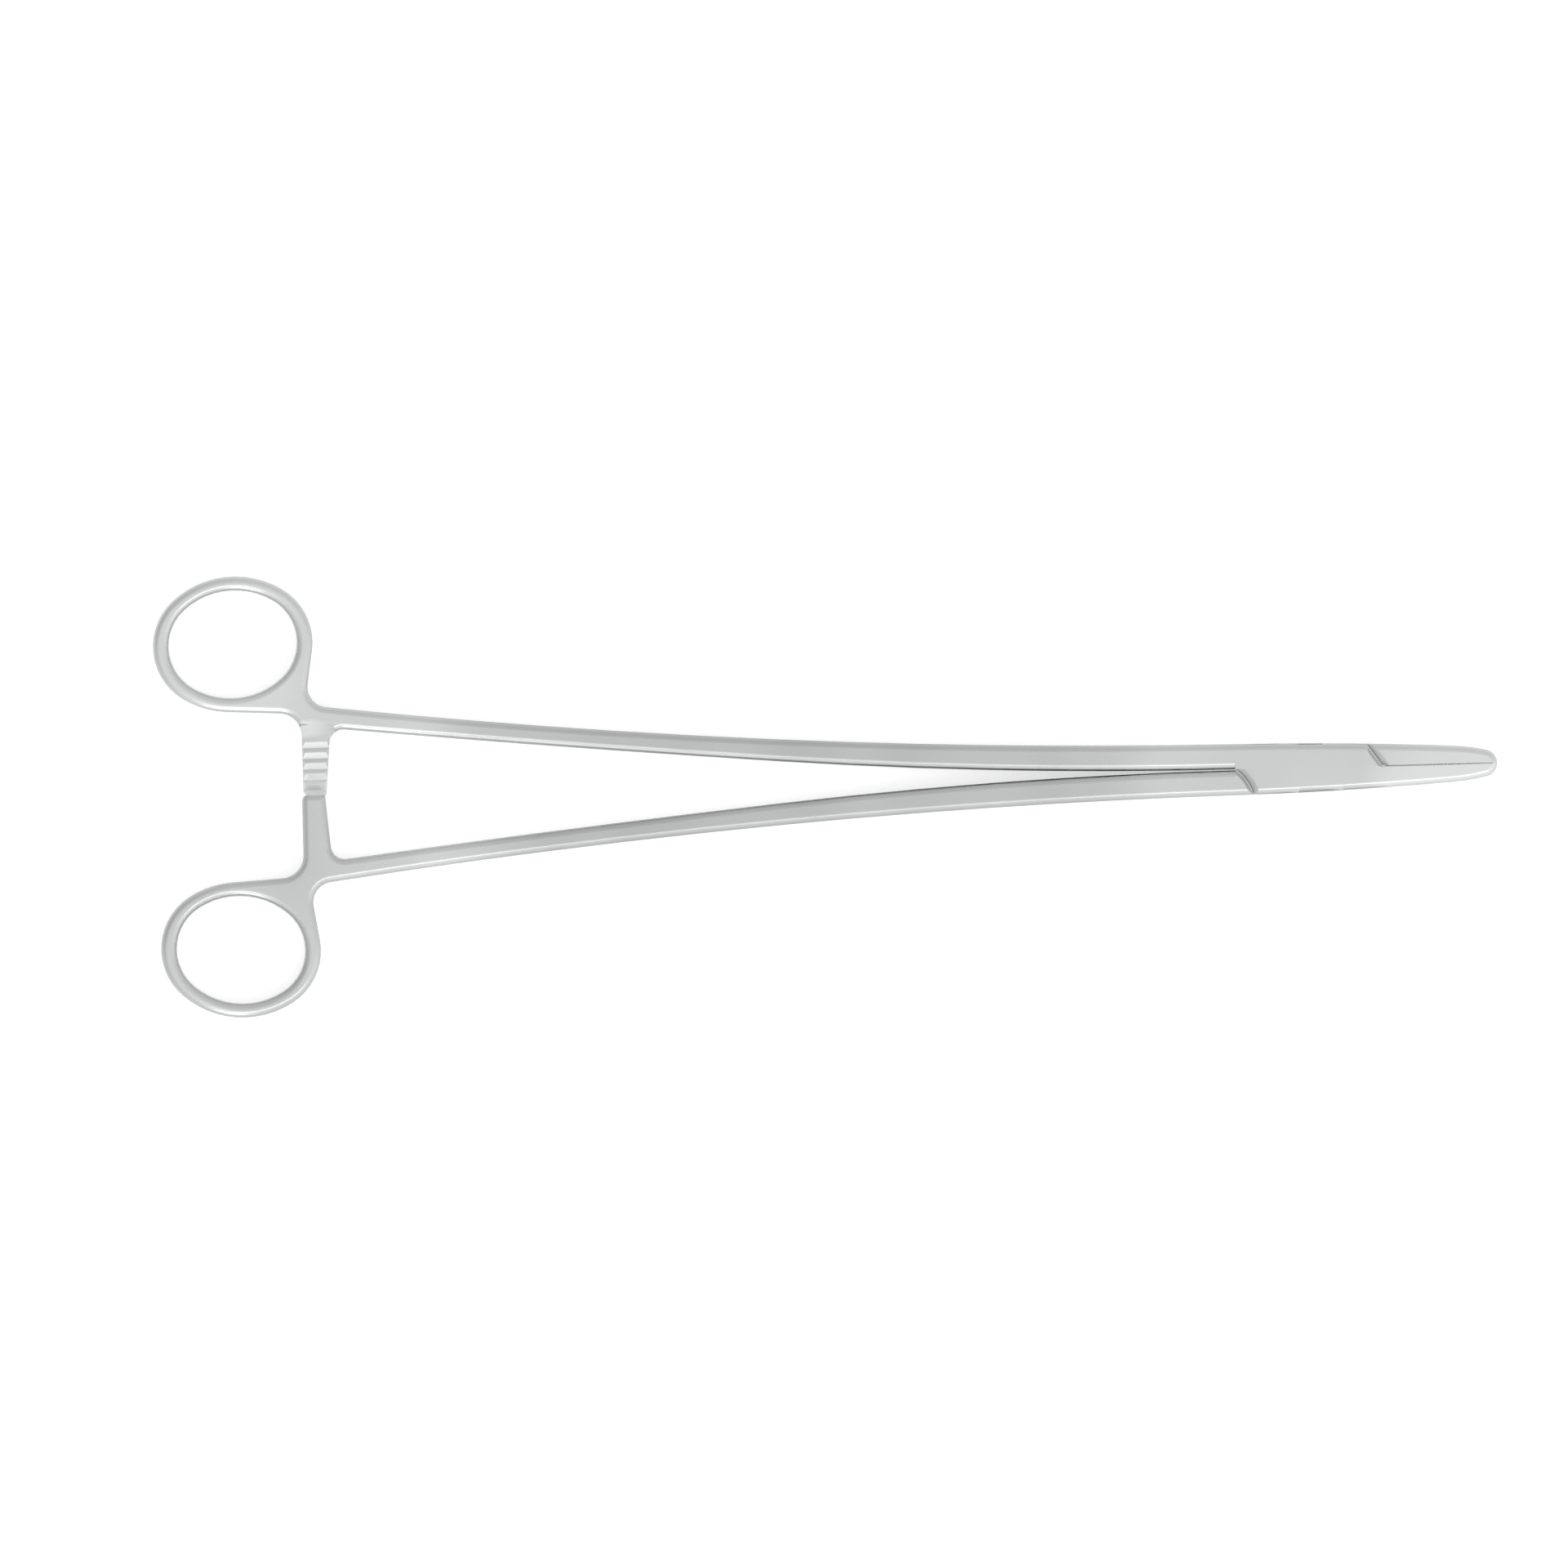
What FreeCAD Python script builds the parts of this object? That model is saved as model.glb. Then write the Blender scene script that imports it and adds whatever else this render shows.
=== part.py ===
import FreeCAD, Part
import math
import os

# Ring-handled box-lock forceps with short serrated jaws, closed and lying flat. Millimetres.
# +X runs from the pivot to the jaw tips, +Y to the shank of the slotted half, +Z up.
# The origin is on the pivot axis, in the plane that the underside of the lock rests on.
# Both halves start from one forged blank. The second is that blank turned over about the X axis.

V = FreeCAD.Vector

# Thickness, as seen from the side
LOCK_THICKNESS = 5.8
SHANK_THICKNESS = 4.6
NOSE_THICKNESS = 3.6
LOCK_FLAT_HALF_LENGTH = 15.0
SHANK_TAPER_LENGTH = 47.0
RING_TAPER_FROM_JUNCTION = 6.4
RING_TAPER_LENGTH = 36.0
EDGE_ROUND = 1.3

# Head: the lock and the pair of jaws, symmetric about the X axis
TIP_X = 36.4
NOSE_RADIUS = 2.65
NOSE_START_X = 28.0
NOSE_START_HALF_WIDTH = 3.5
JAW_ROOT_X = 13.9
LOCK_STOP_HALF_WIDTH = 4.75
LOCK_BACK_X = -14.4
LOCK_BACK_HALF_WIDTH = 4.97

# Shank: how far each of its edges leans outwards at the lock and where it meets the ring
OUTER_LEAN_AT_LOCK_DEG = 0.4
OUTER_LEAN_AT_RING_DEG = 7.4
INNER_LEAN_AT_LOCK_DEG = 0.0
INNER_LEAN_AT_RING_DEG = 6.5
SHANK_WIDTH_AT_RING = 4.1
SHANK_GAP_AT_LOCK = 0.12

# Handle: the junction where the shank, the ratchet arm and the ring meet, and the finger ring
PIVOT_TO_JUNCTION = 192.4
JUNCTION_Y = 15.2
RING_UNDERSIDE_Y = 16.48
RING_HOLE_HALF_LENGTH = 12.45
RING_HOLE_HALF_WIDTH = 10.4
RING_BAND_AT_ENDS = 3.05
RING_BAND_AT_SIDES = 2.72
RING_TILT_DEG = 5.0
NECK_SIDE_LEAN_DEG = 9.0
RING_FOOT_LEAN_DEG = 3.1
RING_TO_SHANK_ROUND = 3.9
RING_TO_ARM_ROUND = 4.4
ARM_TO_SHANK_ROUND = 2.7

# Ratchet arm, with its scoop and teeth
ARM_PAST_JUNCTION = 2.6
TONGUE_ARM_SHIFT = 0.3
ARM_ROOT_WIDTH = 5.8
ARM_WIDTH_AT_MIDDLE = 4.5
ARM_OUTER_ROUND = 1.3
ARM_INNER_ROUND = 0.3
ARM_PAST_MIDDLE = 0.15
RATCHET_CLEARANCE = 0.1
SCOOP_TOP_Y = 14.55
SCOOP_RUN = 3.4
SCOOP_CREST_INSET = 1.4
SCOOP_HALF_WIDTH = 7.0
SCOOP_ARC_RADIUS = 9.0
TOOTH_PITCH = 2.05
TOOTH_FACE_RUN = 0.85
TOOTH_DEPTH = 0.7
TOOTH_END_BEVEL = 0.55

# Box lock: a tongue turning between two cheeks, in a lane between two stop walls
TONGUE_THICKNESS = 2.8
TONGUE_PLAY = 0.05
STOP_DEG = 55.0
LANE_CLEARANCE = 0.1
BACK_SHOULDER = (V(-14.57, 0.38), V(-11.04, -4.46))
BACK_SHOULDER_RADIUS = 10.0
FRONT_SHOULDER = (V(13.85, 0.08), V(10.8, 4.45))
SHOULDER_GAP = 0.3
WIDE_BEVEL = 1.15
WIDE_BEVEL_DEPTH = 0.85
NARROW_BEVEL = 0.5

# Pivot pin
PIN_RADIUS = 1.6
PIN_HEAD_RADIUS = 2.0
PIN_HEAD_DEPTH = 0.7
PIN_CLEARANCE = 0.03

# Jaw serrations
JAW_EDGE_BEVEL = 0.3
SERRATION_PITCH = 0.65
SERRATION_DEPTH = 0.32
SERRATION_LAND = 0.14
SERRATION_BITE = 0.26
SERRATION_START = 0.5

# Length in hand wherever a cutting tool has to reach past the metal
OVERRUN = 2.0
FAR = 30.0

JUNCTION_X = -PIVOT_TO_JUNCTION
BOX_ARM_X = JUNCTION_X - ARM_PAST_JUNCTION
TONGUE_ARM_X = BOX_ARM_X - TONGUE_ARM_SHIFT
RING_TAPER_BACK_X = JUNCTION_X + RING_TAPER_FROM_JUNCTION
RING_TAPER_FRONT_X = RING_TAPER_BACK_X + RING_TAPER_LENGTH
SHANK_TAPER_BACK_X = -LOCK_FLAT_HALF_LENGTH - SHANK_TAPER_LENGTH
RING_HALF_LENGTH = RING_HOLE_HALF_LENGTH + RING_BAND_AT_ENDS
RING_HALF_WIDTH = RING_HOLE_HALF_WIDTH + RING_BAND_AT_SIDES
RING_X = JUNCTION_X - RING_HALF_LENGTH
RING_Y = RING_UNDERSIDE_Y + RING_HALF_WIDTH
MIDDLE_Z = LOCK_THICKNESS / 2
CREST_Z = MIDDLE_Z - RATCHET_CLEARANCE / 2
VALLEY_Z = CREST_Z - TOOTH_DEPTH
CHEEK_THICKNESS = (LOCK_THICKNESS - TONGUE_THICKNESS) / 2 - TONGUE_PLAY
ARM_END_Y = -ARM_PAST_MIDDLE


def plate(corners, low, high):
    """Straight-sided block over the corners given as (x, y)."""
    points = [V(x, y, low) for x, y in corners]
    outline = Part.makePolygon(points + points[:1])
    return Part.Face(outline).extrude(V(0, 0, high - low))


def heading(degrees):
    return V(math.cos(math.radians(degrees)), math.sin(math.radians(degrees)))


def arc_from(start, direction, end):
    """Arc that leaves the start along the direction and runs to the end."""
    chord = end - start
    side = V(-chord.y, chord.x)
    turn = math.atan2(direction.dot(side), direction.dot(chord))
    middle = (start + end) * 0.5 + side * (math.tan(turn / 2) / 2)
    return Part.Arc(start, middle, end).toShape()


def two_arcs(start, leave, end, arrive):
    """Two arcs that make one smooth curve with the directions given at its ends."""
    across = end - start
    pull = across.dot(leave + arrive)
    spread = 2 * (1 - leave.dot(arrive))
    square = across.dot(across)
    reach = square / (math.sqrt(pull**2 + spread * square) + pull)
    middle = (start + leave * reach + end - arrive * reach) * 0.5
    return [arc_from(start, leave, middle), arc_from(end, -arrive, middle)]


def smooth_step(x0, z0, x1, z1):
    """S-shaped curve that is level at both of its ends."""
    reach = (x1 - x0) * 0.4
    curve = Part.BezierCurve()
    curve.setPoles([V(x0, 0, z0), V(x0 + reach, 0, z0), V(x1 - reach, 0, z1), V(x1, 0, z1)])
    return curve.toShape()


def nose_blend(start, direction):
    """Where an arc that leaves the start along the direction runs smoothly into the round of the nose."""
    centre = V(TIP_X - NOSE_RADIUS, 0)
    inward = V(direction.y, -direction.x)
    away = start - centre
    radius = (NOSE_RADIUS**2 - away.dot(away)) / (2 * (away.dot(inward) + NOSE_RADIUS))
    return centre + (centre - start - inward * radius).normalize() * NOSE_RADIUS


def mirrored(edge):
    return edge.mirror(V(0, 0), V(0, 1))


def head_and_shank():
    """Plan of the shank, the lock and both jaws as one face."""
    back = V(LOCK_BACK_X, LOCK_BACK_HALF_WIDTH)
    nose_start = V(NOSE_START_X, NOSE_START_HALF_WIDTH)
    lock_lean = math.radians(OUTER_LEAN_AT_LOCK_DEG)
    side = arc_from(back, V(math.cos(lock_lean), -math.sin(lock_lean)), nose_start)
    slant = side.tangentAt(side.LastParameter)
    slant = slant if slant.x > 0 else -slant
    nose_end = nose_blend(nose_start, slant)
    cheek = arc_from(nose_start, slant, nose_end)
    tip = Part.Arc(nose_end, V(TIP_X, 0), V(nose_end.x, -nose_end.y)).toShape()
    outer_end = V(JUNCTION_X, JUNCTION_Y + SHANK_WIDTH_AT_RING / 2)
    inner_end = V(JUNCTION_X, JUNCTION_Y - SHANK_WIDTH_AT_RING / 2)
    inner_start = V(LOCK_BACK_X, SHANK_GAP_AT_LOCK)
    back_lower = V(LOCK_BACK_X, -LOCK_BACK_HALF_WIDTH)
    edges = [side, cheek, tip, mirrored(cheek), mirrored(side)]
    edges += two_arcs(
        back, heading(180 - OUTER_LEAN_AT_LOCK_DEG), outer_end, heading(180 - OUTER_LEAN_AT_RING_DEG)
    )
    edges += two_arcs(
        inner_start, heading(180 - INNER_LEAN_AT_LOCK_DEG), inner_end, heading(180 - INNER_LEAN_AT_RING_DEG)
    )
    edges += [Part.makeLine(outer_end, inner_end), Part.makeLine(inner_start, back_lower)]
    return Part.Face(Part.Wire(Part.__sortEdges__(edges)))


def oval_corner(half_length, half_width):
    """Where the end arc of an oval meets its side arc, measured from its middle."""
    square = half_length**2 + half_width**2
    both = half_length + half_width
    reach = square / (math.sqrt(both**2 + 2 * square) + both)
    return (half_length + reach) / 2, (half_width + reach) / 2


def oval(half_length, half_width):
    """Oval of four arcs in the place of the finger ring."""
    x, y = oval_corner(half_length, half_width)
    arcs = [
        Part.Arc(V(x, -y), V(half_length, 0), V(x, y)),
        Part.Arc(V(x, y), V(0, half_width), V(-x, y)),
        Part.Arc(V(-x, y), V(-half_length, 0), V(-x, -y)),
        Part.Arc(V(-x, -y), V(0, -half_width), V(x, -y)),
    ]
    face = Part.Face(Part.Wire([arc.toShape() for arc in arcs]))
    face.rotate(V(0, 0), V(0, 0, 1), RING_TILT_DEG)
    face.translate(V(RING_X, RING_Y))
    return face


def ring_centre():
    return V(RING_X, RING_Y)


def ring_foot():
    """Point of the ring's underside where a line that leans down to the arm just touches it."""
    x, y = oval_corner(RING_HALF_LENGTH, RING_HALF_WIDTH)
    drop = RING_HALF_WIDTH - y
    radius = (x * x + drop * drop) / (2 * drop)
    arc_centre = ring_centre() + heading(RING_TILT_DEG + 90) * (radius - RING_HALF_WIDTH)
    return arc_centre + heading(-90 - RING_FOOT_LEAN_DEG) * radius


def ring_shoulder():
    """Point of the ring's front end where the outer side of the neck just touches it."""
    x, y = oval_corner(RING_HALF_LENGTH, RING_HALF_WIDTH)
    depth = RING_HALF_LENGTH - x
    radius = (y * y + depth * depth) / (2 * depth)
    arc_centre = ring_centre() + heading(RING_TILT_DEG) * (RING_HALF_LENGTH - radius)
    return arc_centre + heading(-NECK_SIDE_LEAN_DEG) * radius


def foot_corner(arm_x):
    """Where the underside of the ring, run on straight, meets the outer edge of the ratchet arm."""
    foot = ring_foot()
    drop = (arm_x - foot.x) * math.tan(math.radians(RING_FOOT_LEAN_DEG))
    return V(arm_x, foot.y - drop)


def neck_corner():
    """Where the outer side of the neck, run on straight, meets the outer edge of the shank."""
    start = V(JUNCTION_X, JUNCTION_Y + SHANK_WIDTH_AT_RING / 2)
    along = heading(180 - OUTER_LEAN_AT_RING_DEG)
    across = heading(-NECK_SIDE_LEAN_DEG)
    return start + along * ((ring_shoulder() - start).dot(across) / along.dot(across))


def neck(arm_x):
    """Plan of the metal between the ring and the shank."""
    low_y = foot_corner(arm_x).y
    places = [
        V(JUNCTION_X, JUNCTION_Y + SHANK_WIDTH_AT_RING / 2),
        neck_corner(),
        ring_shoulder(),
        ring_centre(),
        ring_foot(),
        foot_corner(arm_x),
        V(JUNCTION_X, low_y),
    ]
    return [(place.x, place.y) for place in places]


def arm_slope(arm_x):
    """How fast the ratchet arm widens towards its root."""
    return (ARM_ROOT_WIDTH - ARM_WIDTH_AT_MIDDLE) / foot_corner(arm_x).y


def arm_inner_end(arm_x):
    """Corner of the ratchet arm's free end on the side of the lock."""
    return V(arm_x + ARM_WIDTH_AT_MIDDLE + ARM_END_Y * arm_slope(arm_x), ARM_END_Y)


def arm(arm_x):
    """Plan of the ratchet arm."""
    root_y = foot_corner(arm_x).y
    inner_end = arm_inner_end(arm_x)
    return [
        (arm_x, ARM_END_Y),
        (inner_end.x, inner_end.y),
        (arm_x + ARM_ROOT_WIDTH, root_y),
        (arm_x, root_y),
    ]


def face_of(corners):
    points = [V(x, y) for x, y in corners]
    return Part.Face(Part.makePolygon(points + points[:1]))


def facing(face, point):
    u, v = face.Surface.parameter(point)
    return face.normalAt(u, v)


def is_upright_corner(shape, edge):
    """Whether two walls meet at the edge at a real angle."""
    if abs(edge.tangentAt(edge.FirstParameter).z) < 0.999:
        return False
    place = edge.Vertexes[0].Point
    walls = [facing(face, place) for face in shape.ancestorsOfType(edge, Part.Face)]
    return len(walls) == 2 and walls[0].cross(walls[1]).Length > 0.1


def upright_near(shape, x, y):
    """The upright corner edge that stands nearest to a place in plan."""
    corners = [edge for edge in shape.Edges if is_upright_corner(shape, edge)]
    return min(corners, key=lambda e: math.hypot(e.Vertexes[0].X - x, e.Vertexes[0].Y - y))


def round_uprights(shape, corners):
    for x, y, radius in corners:
        shape = shape.makeFillet(radius, [upright_near(shape, x, y)])
    return shape


def side_profile():
    """Block whose top and underside give the thickness along the instrument."""
    thin_low = MIDDLE_Z - SHANK_THICKNESS / 2
    thin_high = MIDDLE_Z + SHANK_THICKNESS / 2
    nose_low = MIDDLE_Z - NOSE_THICKNESS / 2
    nose_high = MIDDLE_Z + NOSE_THICKNESS / 2
    back = RING_X - FAR
    front = TIP_X + OVERRUN
    flat = LOCK_FLAT_HALF_LENGTH
    top = LOCK_THICKNESS
    edges = [
        Part.makeLine(V(back, 0, 0), V(RING_TAPER_BACK_X, 0, 0)),
        smooth_step(RING_TAPER_BACK_X, 0, RING_TAPER_FRONT_X, thin_low),
        Part.makeLine(V(RING_TAPER_FRONT_X, 0, thin_low), V(SHANK_TAPER_BACK_X, 0, thin_low)),
        smooth_step(SHANK_TAPER_BACK_X, thin_low, -flat, 0),
        Part.makeLine(V(-flat, 0, 0), V(flat, 0, 0)),
        smooth_step(flat, 0, front, nose_low),
        Part.makeLine(V(front, 0, nose_low), V(front, 0, nose_high)),
        smooth_step(front, nose_high, flat, top),
        Part.makeLine(V(flat, 0, top), V(-flat, 0, top)),
        smooth_step(-flat, top, SHANK_TAPER_BACK_X, thin_high),
        Part.makeLine(V(SHANK_TAPER_BACK_X, 0, thin_high), V(RING_TAPER_FRONT_X, 0, thin_high)),
        smooth_step(RING_TAPER_FRONT_X, thin_high, RING_TAPER_BACK_X, top),
        Part.makeLine(V(RING_TAPER_BACK_X, 0, top), V(back, 0, top)),
        Part.makeLine(V(back, 0, top), V(back, 0, 0)),
    ]
    face = Part.Face(Part.Wire(edges))
    face.translate(V(0, -2 * FAR, 0))
    return face.extrude(V(0, 4 * FAR, 0))


def outline_edges(shape):
    """Edges where a wall meets the top or the underside, except across the back of the lock."""
    found = []
    for edge in shape.Edges:
        middle = edge.valueAt((edge.FirstParameter + edge.LastParameter) / 2)
        slopes = sorted(abs(facing(f, middle).z) for f in shape.ancestorsOfType(edge, Part.Face))
        across_back = abs(middle.x - LOCK_BACK_X) < 0.01 and middle.y < 0.1
        if slopes[0] < 0.01 and slopes[-1] > 0.9 and not across_back:
            found.append(edge)
    return found


def blank(arm_x):
    """Forged and ground blank of one half: ring, shank, arm, lock and both jaws, before the cuts."""
    tall = V(0, 0, LOCK_THICKNESS + 2 * OVERRUN)
    plans = [head_and_shank(), face_of(neck(arm_x)), face_of(arm(arm_x))]
    ring = oval(RING_HALF_LENGTH, RING_HALF_WIDTH).extrude(tall)
    solid = ring.fuse([plan.extrude(tall) for plan in plans]).removeSplitter()
    solid.translate(V(0, 0, -OVERRUN))
    above = neck_corner()
    below = foot_corner(arm_x)
    inner_end = arm_inner_end(arm_x)
    shank_low = JUNCTION_Y - SHANK_WIDTH_AT_RING / 2
    solid = round_uprights(
        solid,
        [
            (above.x, above.y, RING_TO_SHANK_ROUND),
            (below.x, below.y, RING_TO_ARM_ROUND),
            (arm_x + ARM_ROOT_WIDTH, shank_low, ARM_TO_SHANK_ROUND),
            (arm_x, ARM_END_Y, ARM_OUTER_ROUND),
            (inner_end.x, inner_end.y, ARM_INNER_ROUND),
        ],
    )
    hole = oval(RING_HOLE_HALF_LENGTH, RING_HOLE_HALF_WIDTH).extrude(tall)
    hole.translate(V(0, 0, -OVERRUN))
    solid = solid.cut(hole).common(side_profile())
    return solid.makeFillet(EDGE_ROUND, outline_edges(solid))


def turned_over(shape):
    """The same shape turned half a turn about the X axis, at half thickness."""
    other = shape.copy()
    other.rotate(V(0, 0, MIDDLE_Z), V(1, 0, 0), 180)
    return other


def both_faces(shape):
    """The shape together with its mirror image across half thickness."""
    return shape.fuse(shape.mirror(V(0, 0, MIDDLE_Z), V(0, 0, 1)))


def cut_ratchet(half, arm_x):
    """Levels the arm, scoops its root and cuts the teeth, which face up."""
    crest_x = arm_x + SCOOP_CREST_INSET
    left = crest_x - SCOOP_HALF_WIDTH
    right = crest_x + SCOOP_HALF_WIDTH
    beyond_left = left - OVERRUN
    beyond_right = right + OVERRUN
    scoop_low_y = SCOOP_TOP_Y - SCOOP_RUN
    end_y = ARM_END_Y - OVERRUN
    centre_y = SCOOP_TOP_Y - SCOOP_ARC_RADIUS
    arc_end_y = centre_y + math.sqrt(SCOOP_ARC_RADIUS**2 - SCOOP_HALF_WIDTH**2)
    low = Part.makePolygon(
        [
            V(left, end_y, VALLEY_Z),
            V(left, scoop_low_y, VALLEY_Z),
            V(right, scoop_low_y, VALLEY_Z),
            V(right, end_y, VALLEY_Z),
            V(left, end_y, VALLEY_Z),
        ]
    )
    top = LOCK_THICKNESS
    arc = Part.Arc(V(left, arc_end_y, top), V(crest_x, SCOOP_TOP_Y, top), V(right, arc_end_y, top))
    high = Part.Wire(
        [
            Part.makeLine(V(left, end_y, top), V(left, arc_end_y, top)),
            arc.toShape(),
            Part.makeLine(V(right, arc_end_y, top), V(right, end_y, top)),
            Part.makeLine(V(right, end_y, top), V(left, end_y, top)),
        ]
    )
    scoop = Part.makeLoft([low, high], True, True)
    kept = [
        (beyond_left, scoop_low_y),
        (beyond_right, scoop_low_y),
        (beyond_right, FAR),
        (beyond_left, FAR),
    ]
    scoop = scoop.common(plate(kept, 0, top + OVERRUN))
    above = [(left, end_y), (right, end_y), (right, scoop_low_y), (left, scoop_low_y)]
    cuts = [scoop, plate(above, CREST_Z, top + OVERRUN)]
    valley_y = scoop_low_y
    back_run = 0.0
    while valley_y > ARM_END_Y:
        groove = [(valley_y + back_run, CREST_Z), (valley_y, VALLEY_Z), (valley_y - TOOTH_FACE_RUN, CREST_Z)]
        points = [V(left, y, z) for y, z in groove]
        cuts.append(Part.Face(Part.makePolygon(points + points[:1])).extrude(V(right - left, 0, 0)))
        valley_y -= TOOTH_PITCH
        back_run = TOOTH_PITCH - TOOTH_FACE_RUN
    for edge_x, side, lean in ((arm_x, 1, 0), (arm_inner_end(arm_x).x, -1, arm_slope(arm_x))):
        wedge = [(0, VALLEY_Z), (TOOTH_END_BEVEL * side, CREST_Z), (-side, CREST_Z), (-side, VALLEY_Z)]
        points = [V(edge_x + s, ARM_END_Y, z) for s, z in wedge]
        run = V(lean, 1, 0) * (scoop_low_y - ARM_END_Y)
        cuts.append(Part.Face(Part.makePolygon(points + points[:1])).extrude(run))
    return half.cut(cuts)


def end_section(bevel, depth, reach):
    """Section across the end of a lock face: (how far past the end line, height) up to the mid-plane."""
    return [(reach, MIDDLE_Z), (0.0, MIDDLE_Z), (0.0, depth), (bevel, 0.0), (bevel, -1.0), (reach, -1.0)]


def round_end_tool(radius, bevel, depth):
    """Everything inside the back shoulder's circle, opening out towards both faces of the lock."""
    a, b = BACK_SHOULDER
    chord = b - a
    across = V(chord.y, -chord.x).normalize()
    sink = math.sqrt(BACK_SHOULDER_RADIUS**2 - (chord.Length / 2) ** 2)
    centre = (a + b) * 0.5 + across * sink
    section = [V(centre.x + radius + s, centre.y, z) for s, z in end_section(bevel, depth, -radius)]
    face = Part.Face(Part.makePolygon(section + section[:1]))
    return both_faces(face.revolve(centre, V(0, 0, 1), 360)), centre


def straight_end_tool(gap, bevel, depth, reach):
    """Everything to one side of the front shoulder line, opening out towards both faces."""
    a, b = FRONT_SHOULDER
    along = (b - a).normalize()
    across = V(along.y, -along.x)
    start = a - along * FAR + across * gap
    section = [start + across * s + V(0, 0, z) for s, z in end_section(bevel, depth, reach)]
    face = Part.Face(Part.makePolygon(section + section[:1]))
    return both_faces(face.extrude(along * 2 * FAR))


def stop_line(inset):
    """Two points of the front stop wall, moved towards the pivot by the inset."""
    low = V(LOCK_STOP_HALF_WIDTH * math.tan(math.radians(STOP_DEG / 2)), -LOCK_STOP_HALF_WIDTH)
    high = V(JAW_ROOT_X, 0)
    along = (high - low).normalize()
    shift = V(-along.y, along.x) * inset
    return low + shift, high + shift


def at_height(line, y):
    """The point of a slanting line at the height y in plan."""
    a, b = line
    return a.x + (b.x - a.x) * (y - a.y) / (b.y - a.y), y


def serrated_line(side, phase):
    """Edge of the serrated face in plan: side is 1 for the lower jaw and -1 for the upper one."""
    crest = SERRATION_BITE / 2
    valley = crest - SERRATION_DEPTH
    x = JAW_ROOT_X + SERRATION_START + phase
    points = [(JAW_ROOT_X, side * valley)]
    while x < TIP_X:
        points.append((x, side * valley))
        points.append((x + SERRATION_LAND, side * valley))
        points.append((x + SERRATION_PITCH / 2, side * crest))
        points.append((x + SERRATION_PITCH / 2 + SERRATION_LAND, side * crest))
        x += SERRATION_PITCH
    points.append((TIP_X + FAR, side * valley))
    return points


def bite_bevel(side):
    """What the bevels along the biting face take away: side is 1 for the lower jaw, -1 for the upper."""
    front = TIP_X + OVERRUN
    flat = LOCK_FLAT_HALF_LENGTH
    low_at_root = LOCK_THICKNESS - JAW_EDGE_BEVEL
    low_at_nose = MIDDLE_Z + NOSE_THICKNESS / 2 - JAW_EDGE_BEVEL
    above = LOCK_THICKNESS + OVERRUN
    section = Part.Wire(
        [
            Part.makeLine(V(JAW_ROOT_X, 0, low_at_root), V(flat, 0, low_at_root)),
            smooth_step(flat, low_at_root, front, low_at_nose),
            Part.makeLine(V(front, 0, low_at_nose), V(front, 0, above)),
            Part.makeLine(V(front, 0, above), V(JAW_ROOT_X, 0, above)),
            Part.makeLine(V(JAW_ROOT_X, 0, above), V(JAW_ROOT_X, 0, low_at_root)),
        ]
    )
    face = Part.Face(section)
    face.translate(V(0, side * SERRATION_BITE / 2, 0))
    return both_faces(face.extrude(V(0, -side * OVERRUN, OVERRUN)))


def make_box_half():
    body = cut_ratchet(blank(BOX_ARM_X), BOX_ARM_X)
    back, centre = round_end_tool(BACK_SHOULDER_RADIUS, WIDE_BEVEL, WIDE_BEVEL_DEPTH)
    below_shank = [
        (centre.x, -FAR),
        (centre.x + FAR, -FAR),
        (centre.x + FAR, SHANK_GAP_AT_LOCK),
        (centre.x, SHANK_GAP_AT_LOCK),
    ]
    back = back.common(plate(below_shank, -OVERRUN, LOCK_THICKNESS + OVERRUN))
    front = straight_end_tool(0, -NARROW_BEVEL, NARROW_BEVEL, FAR)
    over_jaw = [(JAW_ROOT_X - FAR, FAR / 2)] + serrated_line(1, 0) + [(TIP_X + FAR, FAR / 2)]
    front = front.common(plate(over_jaw, -OVERRUN, LOCK_THICKNESS + OVERRUN))
    low, high = stop_line(0)
    reach = (high - low).normalize() * FAR
    wall = [low - reach, high + reach]
    lane = [(p.x, p.y) for p in wall] + [(-p.x, -p.y) for p in wall]
    slot_low = MIDDLE_Z - TONGUE_THICKNESS / 2 - TONGUE_PLAY
    slot = plate(lane, slot_low, LOCK_THICKNESS - slot_low)
    return body.cut([back, front, slot, bite_bevel(1), pin_shape()])


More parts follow.
